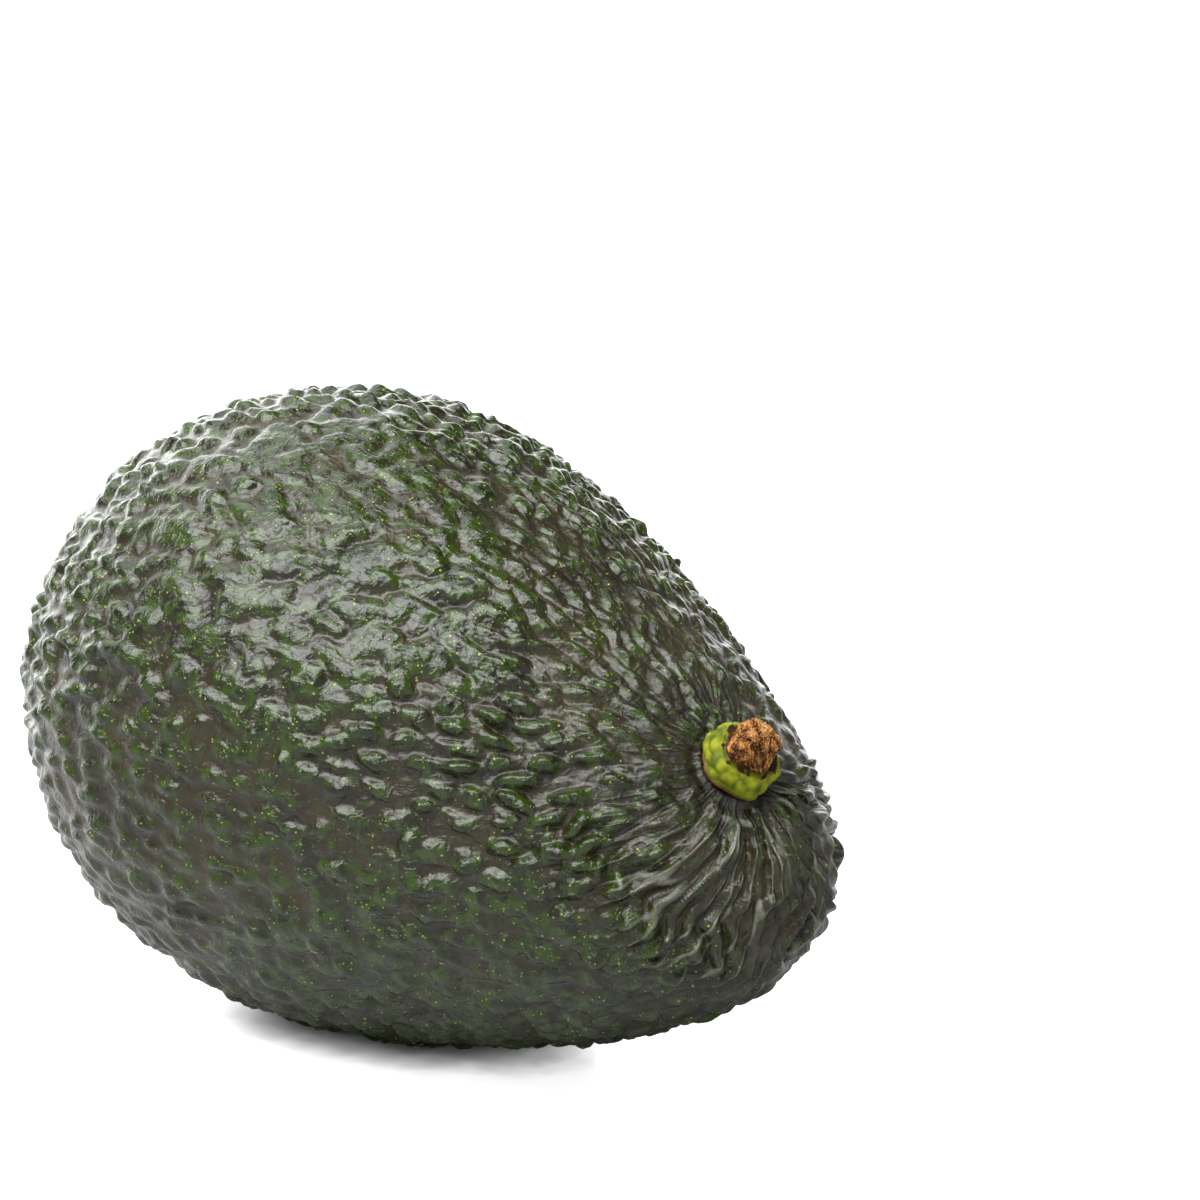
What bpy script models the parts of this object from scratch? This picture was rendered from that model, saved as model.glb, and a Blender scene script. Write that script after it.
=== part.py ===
"""A whole, uncut avocado, as picked, lying on its side on a small flat rest spot.

It is two solids: the fruit, and the stub of its stalk, which sits in the dimple at
the stem end. The origin is the middle of the rest spot. +X runs along the fruit
towards its stem end, +Y runs across it, and +Z is up. Lengths are in metres.
"""
import math

import bmesh
import bpy
from mathutils import Matrix, Vector

# The fruit: an egg whose long axis starts out along X, with its middle at x = 0.
# The taper terms are the linear, square and cubic ones of its narrowing towards the
# stem end, counted over half the length.
HALF_LENGTH = 0.053
MIDDLE_RADIUS = 0.0342
TAPER = (0.33, 0.06, -0.16)
WIDTH_TO_THICKNESS = 1.02

# How it lies: the slimmer stem end dips, and its weight flattens a small spot.
STEM_END_DIP = math.radians(10.5)
REST_SPOT_DEPTH = 0.0008

# Where the stalk grows: away from the very tip, and a little to the -Y side.
STALK_ANGLE_OFF_TIP = math.radians(35.5)
STALK_ANGLE_OFF_TOP = math.radians(9.0)

# The dimple round the stalk has a flat floor, which the stalk stands on.
DIMPLE_RADIUS = 0.0092
DIMPLE_FLOOR_RADIUS = 0.0045
DIMPLE_DEPTH = 0.0012
STALK_GAP = 0.0003

# The stalk stub: a fleshy collar, a neck, and the dried cap of the cut end.
COLLAR_RADIUS = 0.0039
COLLAR_HEIGHT = 0.0031
CAP_RADIUS = 0.00245
STALK_HEIGHT = 0.0057
STALK_LOBES = 5
STALK_LOBE_SIZE = 0.05

# Mesh fineness.
FRUIT_SIDES = 56
FRUIT_RINGS = 42
RING_CROWDING = 1.6
STALK_SIDES = 24
SHARP_EDGE_ANGLE = math.radians(35.0)
WELD_DISTANCE = 0.00005


def start_empty():
    """Remove every object of the scene that the script is run in."""
    for thing in list(bpy.data.objects):
        bpy.data.objects.remove(thing, do_unlink=True)


def make_material(name, colour, roughness):
    """A plain Principled material."""
    material = bpy.data.materials.new(name)
    material.use_nodes = True
    shader = material.node_tree.nodes["Principled BSDF"]
    shader.inputs["Base Color"].default_value = (*colour, 1.0)
    shader.inputs["Roughness"].default_value = roughness
    shader.inputs["Metallic"].default_value = 0.0
    return material


def egg_point(direction):
    """The point of the egg that a unit direction stands for."""
    along = direction.x
    narrowing = sum(term * along ** (power + 1) for power, term in enumerate(TAPER))
    across = MIDDLE_RADIUS * (1.0 - narrowing)
    return Vector((
        HALF_LENGTH * along,
        across * WIDTH_TO_THICKNESS * direction.y,
        across * direction.z,
    ))


def stalk_direction():
    """The direction in which the stalk grows out of the egg."""
    off_axis = math.sin(STALK_ANGLE_OFF_TIP)
    return Vector((
        math.cos(STALK_ANGLE_OFF_TIP),
        -off_axis * math.sin(STALK_ANGLE_OFF_TOP),
        off_axis * math.cos(STALK_ANGLE_OFF_TOP),
    ))


def side_directions(pole):
    """Two unit directions square to the pole and to each other."""
    first = Vector((0.0, 1.0, 0.0)).cross(pole).normalized()
    return first, pole.cross(first)


def surface_frame(pole):
    """A frame at the pole's point of the egg, its Z square to the surface there."""
    step = 0.001
    first, second = side_directions(pole)
    foot = egg_point(pole)
    slope_one = egg_point((pole + step * first).normalized()) - foot
    slope_two = egg_point((pole + step * second).normalized()) - foot
    outward = slope_one.cross(slope_two).normalized()
    across = outward.orthogonal().normalized()
    axes = Matrix((across, outward.cross(across), outward)).transposed()
    return Matrix.Translation(foot) @ axes.to_4x4()


def press_dimple(point, stalk_frame):
    """Move a point near the stalk down towards the flat floor of the dimple."""
    local = stalk_frame.inverted() @ point
    reach = math.hypot(local.x, local.y)
    slope_width = DIMPLE_RADIUS - DIMPLE_FLOOR_RADIUS
    ramp = min(max((reach - DIMPLE_FLOOR_RADIUS) / slope_width, 0.0), 1.0)
    keep = ramp * ramp * (3.0 - 2.0 * ramp)
    local.z = keep * local.z - (1.0 - keep) * DIMPLE_DEPTH
    return stalk_frame @ local


def build_fruit_mesh(stalk_frame):
    """Rings of points round the stalk, from the dimple's centre to the far side."""
    mesh = bmesh.new()
    pole = stalk_direction()
    first, second = side_directions(pole)
    rings = []
    for ring_number in range(1, FRUIT_RINGS):
        opening = math.pi * (ring_number / FRUIT_RINGS) ** RING_CROWDING
        ring = []
        for side in range(FRUIT_SIDES):
            turn = 2.0 * math.pi * side / FRUIT_SIDES
            sideways = math.cos(turn) * first + math.sin(turn) * second
            direction = math.cos(opening) * pole + math.sin(opening) * sideways
            point = egg_point(direction)
            if opening < math.pi / 4.0:
                point = press_dimple(point, stalk_frame)
            ring.append(mesh.verts.new(point))
        rings.append(ring)
    centre = mesh.verts.new(press_dimple(egg_point(pole), stalk_frame))
    far_end = mesh.verts.new(egg_point(-pole))
    for side in range(FRUIT_SIDES):
        after = (side + 1) % FRUIT_SIDES
        mesh.faces.new((centre, rings[0][side], rings[0][after]))
        for inner, outer in zip(rings, rings[1:]):
            mesh.faces.new((inner[side], outer[side], outer[after], inner[after]))
        mesh.faces.new((rings[-1][side], far_end, rings[-1][after]))
    return mesh


def lay_down(mesh):
    """Dip the stem end, cut the rest spot flat, and put the origin in its middle."""
    dip = Matrix.Rotation(STEM_END_DIP, 4, "Y")
    mesh.transform(dip)
    floor = min(vertex.co.z for vertex in mesh.verts) + REST_SPOT_DEPTH
    cut = bmesh.ops.bisect_plane(
        mesh,
        geom=mesh.verts[:] + mesh.edges[:] + mesh.faces[:],
        dist=WELD_DISTANCE,
        plane_co=(0.0, 0.0, floor),
        plane_no=(0.0, 0.0, 1.0),
        clear_inner=True,
    )
    rim = [item for item in cut["geom_cut"] if isinstance(item, bmesh.types.BMEdge)]
    corners = {vertex for edge in rim for vertex in edge.verts}
    for corner in corners:
        corner.co.z = floor
    bmesh.ops.edgeloop_fill(mesh, edges=rim)
    middle_x = 0.5 * (min(c.co.x for c in corners) + max(c.co.x for c in corners))
    middle_y = 0.5 * (min(c.co.y for c in corners) + max(c.co.y for c in corners))
    to_origin = Matrix.Translation((-middle_x, -middle_y, -floor))
    mesh.transform(to_origin)
    return to_origin @ dip


def build_stalk_mesh():
    """A turned stub with shallow lobes, from its flat base up to the dried cap."""
    profile = (
        (0.86 * COLLAR_RADIUS, 0.0),
        (1.00 * COLLAR_RADIUS, 0.25 * COLLAR_HEIGHT),
        (1.00 * COLLAR_RADIUS, 0.60 * COLLAR_HEIGHT),
        (0.90 * COLLAR_RADIUS, 0.90 * COLLAR_HEIGHT),
        (1.02 * CAP_RADIUS, COLLAR_HEIGHT + 0.15 * CAP_RADIUS),
        (1.04 * CAP_RADIUS, 0.94 * STALK_HEIGHT),
        (0.86 * CAP_RADIUS, STALK_HEIGHT),
    )
    mesh = bmesh.new()
    rings = []
    for radius, height in profile:
        ring = []
        for side in range(STALK_SIDES):
            turn = 2.0 * math.pi * side / STALK_SIDES
            lobed = radius * (1.0 + STALK_LOBE_SIZE * math.cos(STALK_LOBES * turn))
            ring.append(mesh.verts.new((lobed * math.cos(turn), lobed * math.sin(turn), height)))
        rings.append(ring)
    for side in range(STALK_SIDES):
        after = (side + 1) % STALK_SIDES
        for lower, upper in zip(rings, rings[1:]):
            mesh.faces.new((lower[side], lower[after], upper[after], upper[side]))
    mesh.faces.new(list(reversed(rings[0])))
    mesh.faces.new(rings[-1])
    return mesh


def add_object(name, mesh, material):
    """Turn a bmesh into a smooth-shaded object of the scene."""
    bmesh.ops.remove_doubles(mesh, verts=mesh.verts[:], dist=WELD_DISTANCE)
    bmesh.ops.recalc_face_normals(mesh, faces=mesh.faces[:])
    data = bpy.data.meshes.new(name)
    mesh.to_mesh(data)
    mesh.free()
    data.shade_smooth()
    data.set_sharp_from_angle(angle=SHARP_EDGE_ANGLE)
    data.materials.append(material)
    thing = bpy.data.objects.new(name, data)
    bpy.context.scene.collection.objects.link(thing)
    return thing


def build_avocado():
    """Model the fruit, lay it down, and stand the stalk in its dimple."""
    start_empty()
    skin = make_material("avocado_skin", (0.035, 0.045, 0.028), 0.38)
    stalk_flesh = make_material("green_stalk", (0.24, 0.22, 0.035), 0.6)

    stalk_frame = surface_frame(stalk_direction())
    fruit_mesh = build_fruit_mesh(stalk_frame)
    lie = lay_down(fruit_mesh)
    fruit = add_object("fruit", fruit_mesh, skin)

    stalk = add_object("stem", build_stalk_mesh(), stalk_flesh)
    stalk.parent = fruit
    above_floor = Matrix.Translation((0.0, 0.0, STALK_GAP - DIMPLE_DEPTH))
    stalk.matrix_local = lie @ stalk_frame @ above_floor


build_avocado()
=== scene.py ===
# %% [markdown]
# # A whole avocado, lying on its side
#
# The real object is a ripe, uncut avocado with a dark, pebbled rind and the stub of
# its stalk still in place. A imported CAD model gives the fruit's size and lie. This
# file gives it its skin: it grows a pebbled surface around the CAD shape, models the
# stalk stub, paints both with procedural materials, and lights them as in a studio.

# %% Load the frame
import math

import bmesh
import bpy
import numpy as np
from mathutils import Matrix, Vector, noise
from mathutils.bvhtree import BVHTree
from mathutils.kdtree import KDTree


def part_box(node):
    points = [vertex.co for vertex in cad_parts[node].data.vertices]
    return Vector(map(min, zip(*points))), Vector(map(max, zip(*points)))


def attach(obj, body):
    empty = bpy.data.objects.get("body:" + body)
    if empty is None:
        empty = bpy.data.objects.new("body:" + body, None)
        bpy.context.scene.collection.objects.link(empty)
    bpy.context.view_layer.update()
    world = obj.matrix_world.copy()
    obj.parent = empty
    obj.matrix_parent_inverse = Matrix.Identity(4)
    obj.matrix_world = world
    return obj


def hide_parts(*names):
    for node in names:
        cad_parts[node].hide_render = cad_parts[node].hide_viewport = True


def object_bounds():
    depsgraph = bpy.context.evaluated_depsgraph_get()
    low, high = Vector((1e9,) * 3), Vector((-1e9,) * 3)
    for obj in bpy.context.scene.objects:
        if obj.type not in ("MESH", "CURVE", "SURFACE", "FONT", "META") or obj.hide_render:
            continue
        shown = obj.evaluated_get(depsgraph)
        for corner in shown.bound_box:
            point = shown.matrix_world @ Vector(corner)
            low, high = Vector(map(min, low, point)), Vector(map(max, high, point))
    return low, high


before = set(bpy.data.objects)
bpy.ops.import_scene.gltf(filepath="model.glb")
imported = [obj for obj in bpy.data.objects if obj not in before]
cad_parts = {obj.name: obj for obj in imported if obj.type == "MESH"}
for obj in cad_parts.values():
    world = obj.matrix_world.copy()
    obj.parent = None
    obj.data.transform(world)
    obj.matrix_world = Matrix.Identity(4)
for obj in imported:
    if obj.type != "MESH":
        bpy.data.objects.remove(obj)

MM = 0.001
cad_low, cad_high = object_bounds()
fruit_low, fruit_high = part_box("fruit")
stem_low, stem_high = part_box("stem")
print("fruit, mm:", [round(side / MM, 1) for side in fruit_high - fruit_low])

# %% [markdown]
# ## Measuring the CAD fruit
#
# The rind has to follow the CAD fruit, so the CAD mesh is put into a search tree that
# answers two questions: where does a ray from inside the fruit leave it, and which
# point of the surface is nearest to a given one. The second finds where the stalk
# stands: the point of the fruit that is nearest to the stalk's middle is the centre of
# the dimple's flat floor, and the surface there faces along the stalk.

# %% Find the fruit's middle and the stalk's place
fruit_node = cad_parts["fruit"]
cad_surface = BVHTree.FromPolygons(
    [vertex.co for vertex in fruit_node.data.vertices],
    [tuple(face.vertices) for face in fruit_node.data.polygons],
)
fruit_middle = (fruit_low + fruit_high) / 2
fruit_half = (fruit_high - fruit_low) / 2
stem_middle = (stem_low + stem_high) / 2
dimple_floor, stalk_axis, _, _ = cad_surface.find_nearest(stem_middle)
print("stalk leans", round(math.degrees(stalk_axis.angle(Vector((0, 0, 1)))), 1), "degrees")


# %% The pole: the way from the fruit's middle to the stalk, in a box stretched to a cube
def unit(vector):
    """The same direction with a length of one."""
    return vector / np.linalg.norm(vector)


pole = unit((np.array(dimple_floor) - np.array(fruit_middle)) / np.array(fruit_half))
print("pole:", pole.round(2))

# %% A ray from the middle to the CAD skin
def skin_reach(direction):
    """How far the CAD skin is, as a share of the box's own ellipsoid, in a direction."""
    target = Vector(component * half for component, half in zip(direction, fruit_half))
    _, _, _, distance = cad_surface.ray_cast(fruit_middle, target.normalized())
    return distance / target.length


def to_skin(directions, reach):
    """Points on the skin for unit directions and their reach."""
    return np.array(fruit_middle) + directions * np.array(fruit_half) * reach[:, None]


# %% [markdown]
# ## The base mesh
#
# A globe of latitude and longitude lines would crowd its points at two poles, and an
# avocado's skin needs them everywhere alike. A cube that is cut into small squares and
# blown up to a ball spreads them far more evenly. The tangent step evens them out
# again, because squares near the middle of a cube's face would otherwise swell most.
# Last, all points move a little towards the stalk, where the skin's folds are finest.

# %% Blow up a finely cut cube
CELLS_PER_EDGE = 160
CROWDING = 0.2


def blown_cube(cells):
    """A cube's grid mesh, and the unit direction of each of its points."""
    mesh = bmesh.new()
    bmesh.ops.create_cube(mesh, size=2.0)
    bmesh.ops.subdivide_edges(mesh, edges=mesh.edges[:], cuts=cells - 1, use_grid_fill=True)
    corners = np.array([vertex.co for vertex in mesh.verts])
    corners = np.tan(corners * math.pi / 4)
    ball = corners / np.linalg.norm(corners, axis=1)[:, None] + CROWDING * pole
    return mesh, ball / np.linalg.norm(ball, axis=1)[:, None]


skin_mesh, directions = blown_cube(CELLS_PER_EDGE)
print("skin:", len(skin_mesh.verts), "points,", len(skin_mesh.faces), "faces")

# %% Pull the ball onto the CAD skin and smooth its facets away
SMOOTHING_ROUNDS = 22


def neighbour_mean(values, edges):
    """Each point's mean over itself and the points it shares an edge with."""
    total = values.copy()
    count = np.ones(len(values))
    for near, far in ((0, 1), (1, 0)):
        np.add.at(total, edges[:, near], values[edges[:, far]])
        np.add.at(count, edges[:, near], 1.0)
    return total / (count if values.ndim == 1 else count[:, None])


skin_edges = np.array([[vertex.index for vertex in edge.verts] for edge in skin_mesh.edges])
reach = np.array([skin_reach(direction) for direction in directions])
for _ in range(SMOOTHING_ROUNDS):
    reach = neighbour_mean(reach, skin_edges)
smooth_skin = to_skin(directions, reach)
print("smooth skin, mm:", np.ptp(smooth_skin, axis=0).round(4) / MM)

# %% [markdown]
# ## A map of the skin, seen from the stalk
#
# Everything on an avocado's skin runs from the stalk: its folds fan out of the dimple
# and its pebbles are drawn out along the same lines, as meridians run from a pole. So
# each point of the skin gets an address from the stalk: how far away it is along its
# meridian, which meridian that is, and how wide a full turn is there. Those lengths
# are measured on a coarse grid of rays and read from it for every point. Meridian 0
# runs over the top of the fruit, and the near side, -Y, is a quarter turn on.

# %% Walk the meridians
MERIDIANS = 96
STEPS = 120

to_top = unit(np.array([0.0, 0.0, 1.0]) - pole[2] * pole)
to_near_side = np.cross(pole, to_top)


def meridian_grid():
    """Lengths from the stalk, and a full turn's radius, on a grid of openings and turns."""
    openings = np.linspace(0.0, math.pi, STEPS + 1)
    turns = np.linspace(-math.pi, math.pi, MERIDIANS, endpoint=False)
    opening, turn = np.meshgrid(openings, turns, indexing="ij")
    sideways = np.cos(turn)[..., None] * to_top + np.sin(turn)[..., None] * to_near_side
    rays = np.cos(opening)[..., None] * pole + np.sin(opening)[..., None] * sideways
    flat_rays = rays.reshape(-1, 3)
    flat_reach = np.array([skin_reach(ray) for ray in flat_rays])
    places = to_skin(flat_rays, flat_reach).reshape(rays.shape)
    strides = np.linalg.norm(np.diff(places, axis=0), axis=2)
    lengths = np.vstack([np.zeros(MERIDIANS), np.cumsum(strides, axis=0)])
    around = np.linalg.norm(np.roll(places, -1, axis=1) - np.roll(places, 1, axis=1), axis=2)
    return lengths, around / (2 * (turns[1] - turns[0]))


def read_grid(grid, opening, turn):
    """The grid's value between its lines, for arrays of openings and turns."""
    row = np.clip(opening / math.pi * STEPS, 0, STEPS - 1e-6)
    column = (turn + math.pi) / (2 * math.pi) * MERIDIANS
    row_low, column_low = row.astype(int), np.floor(column).astype(int)
    row_share, column_share = row - row_low, column - column_low
    value = 0.0
    for row_step, row_weight in ((0, 1 - row_share), (1, row_share)):
        for column_step, column_weight in ((0, 1 - column_share), (1, column_share)):
            corner = grid[row_low + row_step, (column_low + column_step) % MERIDIANS]
            value = value + row_weight * column_weight * corner
    return value


length_grid, turn_radius_grid = meridian_grid()
opening = np.arccos(np.clip(directions @ pole, -1, 1))
turn = np.arctan2(directions @ to_near_side, directions @ to_top)
from_stalk = read_grid(length_grid, opening, turn)
turn_radius = read_grid(turn_radius_grid, opening, turn)
print("from the stalk to the far end:", round(from_stalk.max() / MM), "mm")

# %% Which way each point faces
for vertex, place in zip(skin_mesh.verts, smooth_skin):
    vertex.co = place
skin_mesh.normal_update()
outward = np.array([vertex.normal for vertex in skin_mesh.verts])
print("side of the near meridian:", to_near_side.round(2))

# %% [markdown]
# ## How the skin grows
#
# The rind of this kind of avocado is covered with low, corky swellings. Round the
# stalk they are drawn out into long folds, over the shoulder they nearly fade, across
# the belly they are short ovals, and at the blunt end they are round and close
# together like cobbles. A picture of bumps would not change like that from place to
# place, so the pebbles are grown one by one: each has a place, a length, a width and a
# height of its own, looked up in a chart of the skin.

# %% Chart the pebbles' sizes
CHART_DISTANCE = np.array([0, 14, 38, 70, 105, 145]) * MM
BASE_CHART = {
    "half_length": np.array([2.0, 2.3, 2.1, 1.8, 2.0, 2.1]) * MM,
    "half_width": np.array([0.8, 0.9, 1.0, 1.15, 1.55, 1.75]) * MM,
    "height": np.array([0.20, 0.60, 0.95, 1.1, 1.2, 1.2]) * MM,
    "flatness": np.array([2.0, 2.4, 2.8, 2.8, 2.6, 2.6]),
    "room": np.array([1.6, 1.6, 1.45, 1.30, 1.35, 1.40]),
    "bend": np.array([0.6, 0.6, 0.7, 0.7, 0.7, 0.7]),
}
# Each zone: its middle and reach in mm from the stalk, then in degrees of turn.
ZONES = {
    "folds": ((14, 19), (182, 88)),
    "shoulder": ((16, 26), (-5, 62)),
    "plates": ((52, 26), (42, 40)),
    "sparse": ((27, 18), (98, 36)),
    "speckled": ((72, 44), (112, 34)),
    "cobbled": ((46, 26), (136, 32)),
}
ZONE_GROWTH = {
    "folds": {"half_length": 3.0 * MM, "half_width": 1.0 * MM, "height": 0.15 * MM, "room": 2.0},
    "shoulder": {"half_length": 2.4 * MM, "half_width": 0.85 * MM, "height": 0.62 * MM, "room": 1.6},
    "plates": {"half_length": 2.5 * MM, "half_width": 1.8 * MM, "height": 0.70 * MM, "flatness": 4.5,
               "room": 1.15, "bend": 0.9},
    "sparse": {"half_length": 2.1 * MM, "half_width": 1.0 * MM, "height": 1.15 * MM, "flatness": 3.0,
               "room": 1.95, "bend": 0.45},
    "speckled": {"half_length": 2.1 * MM, "half_width": 1.3 * MM, "height": 0.70 * MM, "room": 1.6},
    "cobbled": {"half_length": 2.4 * MM, "half_width": 1.9 * MM, "height": 1.0 * MM, "flatness": 2.2,
                "room": 1.15},
}


def ramp(value, start, end):
    """0 before start, 1 after end, and a smooth rise between them."""
    share = np.clip((value - start) / (end - start), 0.0, 1.0)
    return share * share * (3 - 2 * share)


def short_way(angle):
    """An angle brought into the range from minus to plus half a turn."""
    return (angle + math.pi) % (2 * math.pi) - math.pi


def zone_share(name):
    """How much each point of the skin belongs to a zone: 1 inside it, 0 well outside."""
    (distance, distance_reach), (turn_middle, turn_reach) = ZONES[name]
    along = (from_stalk / MM - distance) / distance_reach
    across = np.degrees(short_way(turn - math.radians(turn_middle))) / turn_reach
    return 1 - ramp(np.hypot(along, across), 0.65, 1.25)


zone_shares = {name: zone_share(name) for name in ZONES}
growth = {}
for trait, values in BASE_CHART.items():
    growth[trait] = np.interp(from_stalk, CHART_DISTANCE, values)
    for name, share in zone_shares.items():
        if trait in ZONE_GROWTH[name]:
            growth[trait] += share * (ZONE_GROWTH[name][trait] - growth[trait])
for trait, values in growth.items():
    print(trait, "from", values.min().round(5), "to", values.max().round(5))

# %% [markdown]
# ## Planting the pebbles
#
# Pebbles leave each other room, but they are not in rows. So places are drawn at
# random, and each pebble that is planted clears the ground round it, in an oval of its
# own shape, until no free place is left. That is done twice: first for the pebbles,
# then for smaller, lower ones. The same seed gives the same fruit each time.

# %% Plant them
# Two generations: a pebble's size, and its height, as shares of what the chart says.
GENERATIONS = ((1.0, 1.0), (0.5, 0.28))
PLANTING_PLACES = (20000, 30000)
GROWTH_SEED = 41
random = np.random.default_rng(GROWTH_SEED)


def to_oval(seed, points, bent_along, bent_turn, slack=0.0):
    """Where points lie from a seed, in metres along its meridian and across it."""
    straight = np.linalg.norm(smooth_skin[points] - smooth_skin[seed], axis=1) + slack
    along = bent_along[points] - from_stalk[seed]
    across = turn_radius[points] * short_way(bent_turn[points] - turn[seed])
    return np.clip(along, -straight, straight), np.clip(across, -straight, straight)


def plant_pebbles(size, places):
    """Seed points that leave each other the room that their own sizes ask for."""
    free = random.permutation(len(smooth_skin))[:places]
    planted = []
    while len(free):
        seed = free[0]
        planted.append(seed)
        along, across = to_oval(seed, free, from_stalk, turn)
        distance = np.hypot(along / growth["half_length"][seed], across / growth["half_width"][seed])
        free = free[distance > size * growth["room"][seed]]
    return planted


generations = [plant_pebbles(size, places)
               for (size, _), places in zip(GENERATIONS, PLANTING_PLACES)]
print("pebbles:", [len(planted) for planted in generations])

# %% [markdown]
# ## Raising the pebbles
#
# Each pebble is a low dome. Where two domes of a generation meet, the higher one wins,
# which leaves the sharp little valleys that real skin has. A high power of each dome,
# summed and rooted, does that and rounds the valleys just enough. The two generations
# are then added up and smoothed once. The map that the domes are drawn on is first bent
# by soft noise, so no pebble is a true oval, and each dome leans a little its own way,
# which breaks up the light.

# %% Soft noise over the skin
def soft_noise(size, shift):
    """Smooth noise with swells of about the given size, from -1 to 1, for each point."""
    moved = smooth_skin / size + shift
    return np.array([noise.noise(place) for place in moved])


BEND_SIZE = 4.5 * MM
BEND_DEPTH = 1.5 * MM
FINE_BEND_SIZE = 1.6 * MM
FINE_BEND_DEPTH = 0.45 * MM
bend_along = BEND_DEPTH * soft_noise(BEND_SIZE, 10) + FINE_BEND_DEPTH * soft_noise(FINE_BEND_SIZE, 20)
bend_across = BEND_DEPTH * soft_noise(BEND_SIZE, 30) + FINE_BEND_DEPTH * soft_noise(FINE_BEND_SIZE, 40)
from_stalk_bent = from_stalk + growth["bend"] * bend_along
turn_bent = turn + growth["bend"] * bend_across / np.maximum(turn_radius, 2 * MM)

# %% Raise one dome for each pebble
SHARPNESS = 8
DOME_POWER = 1.1
TILT_SPREAD = math.radians(13)
LEAN_SPREAD = 0.28
# A pebble's length, width and height vary between these shares of what the chart says.
LENGTH_RANGE = (0.8, 1.3)
WIDTH_RANGE = (0.85, 1.2)
HEIGHT_RANGE = (0.5, 1.2)
SEARCH_MARGIN = 1.25

skin_tree = KDTree(len(smooth_skin))
for number, place in enumerate(smooth_skin):
    skin_tree.insert(place, number)
skin_tree.balance()


def raise_pebbles(planted, size, share):
    """The height of one generation of pebbles over the smooth skin at every point."""
    powered = np.zeros(len(smooth_skin))
    for seed in planted:
        half_length = size * growth["half_length"][seed] * random.uniform(*LENGTH_RANGE)
        half_width = size * growth["half_width"][seed] * random.uniform(*WIDTH_RANGE)
        height = share * growth["height"][seed] * random.uniform(*HEIGHT_RANGE)
        tilt = random.normal(0, TILT_SPREAD)
        lean = random.normal(0, LEAN_SPREAD, 2)
        reach_out = SEARCH_MARGIN * max(half_length, half_width) + growth["bend"][seed] * BEND_DEPTH
        near = np.array([found[1] for found in skin_tree.find_range(smooth_skin[seed], reach_out)])
        along, across = to_oval(seed, near, from_stalk_bent, turn_bent, BEND_DEPTH)
        leaning = (along * math.cos(tilt) + across * math.sin(tilt)) / half_length
        sideways = (across * math.cos(tilt) - along * math.sin(tilt)) / half_width
        inside = np.clip(1 - np.hypot(leaning, sideways) ** growth["flatness"][seed], 0, 1)
        dome = height * inside ** DOME_POWER * (1 + lean[0] * leaning + lean[1] * sideways)
        powered[near] += np.clip(dome / MM, 0, None) ** SHARPNESS
    return powered ** (1 / SHARPNESS) * MM


layers = [raise_pebbles(planted, size, share)
          for planted, (size, share) in zip(generations, GENERATIONS)]
pebble_height = neighbour_mean(sum(layers), skin_edges)
print("pebbles stand up to", (pebble_height.max() / MM).round(2), "mm")

# %% [markdown]
# ## Folds round the stalk
#
# Below the stalk the skin is gathered into long folds, like cloth drawn into a waist.
# Each fold is a round ridge between two sharp creases, and folds split in two as they
# fan out. So they are drawn as waves round the stalk: few of them close to it and
# twice as many further out, their lines bent by noise and their heights uneven.

# %% Raise the folds
FOLDS_ROUND = 24
SPLIT_DISTANCE = (9 * MM, 17 * MM)
FOLD_WANDER_SIZE = 7 * MM
FOLD_WANDER = 0.9
KNOB_SIZE = 2.6 * MM
KNOB_WANDER = 0.22
FOLD_HEIGHT = 1.7 * MM
PUCKER_HEIGHT = 0.50 * MM
OUTER_FOLD_SHARE = 0.8
CREST_ROUNDNESS = 0.75
PUCKER_END = (7 * MM, 16 * MM)
FOLD_END = (22 * MM, 36 * MM)

wander = FOLD_WANDER * soft_noise(FOLD_WANDER_SIZE, 110) + KNOB_WANDER * soft_noise(KNOB_SIZE, 160)
unevenness = soft_noise(FOLD_WANDER_SIZE, 120)


def fold_waves(count, shift):
    """Round ridges between sharp creases, a whole number of them round the stalk."""
    phase = math.pi * (count * turn / (2 * math.pi) + wander * count / FOLDS_ROUND + shift)
    return np.abs(np.sin(phase)) ** CREST_ROUNDNESS


split = ramp(from_stalk, *SPLIT_DISTANCE)
inner_folds = fold_waves(FOLDS_ROUND, 0.0)
outer_folds = fold_waves(2 * FOLDS_ROUND, 0.5)
waves = (1 - split) * inner_folds + split * outer_folds * OUTER_FOLD_SHARE
# Some folds stand tall and some nearly fade, and knobs sit along them.
waves *= np.clip(0.85 + 0.8 * unevenness + 0.7 * soft_noise(KNOB_SIZE, 170), 0.2, 1.4)
fold_share = zone_shares["folds"] * (1 - ramp(from_stalk, *FOLD_END))
pucker_share = (1 - zone_shares["folds"]) * (1 - ramp(from_stalk, *PUCKER_END))
fold_height = (FOLD_HEIGHT * fold_share + PUCKER_HEIGHT * pucker_share) * waves
print("folds stand up to", (fold_height.max() / MM).round(2), "mm")

# %% [markdown]
# ## Swells, and the final surface
#
# Between the pebbles the rind isn't even either: it swells and sinks a little over
# stretches of about a centimetre. The pebbles' tops are kept at the CAD surface, so the
# fruit stays its size, and the valleys go in. The rest spot stays flat, because nothing
# may reach below it. Close round the stalk the folds sink a little, so they don't bury
# its collar, then the skin draws up to a lip that hugs it. Under the stalk it is smooth.

# %% Move the skin out and in
SWELL_SIZE = 10 * MM
SWELL_HEIGHT = 0.35 * MM
RIPPLE_SIZE = 3.5 * MM
RIPPLE_HEIGHT = 0.12 * MM
TOPS_ABOVE_CAD = 0.25 * MM
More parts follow.
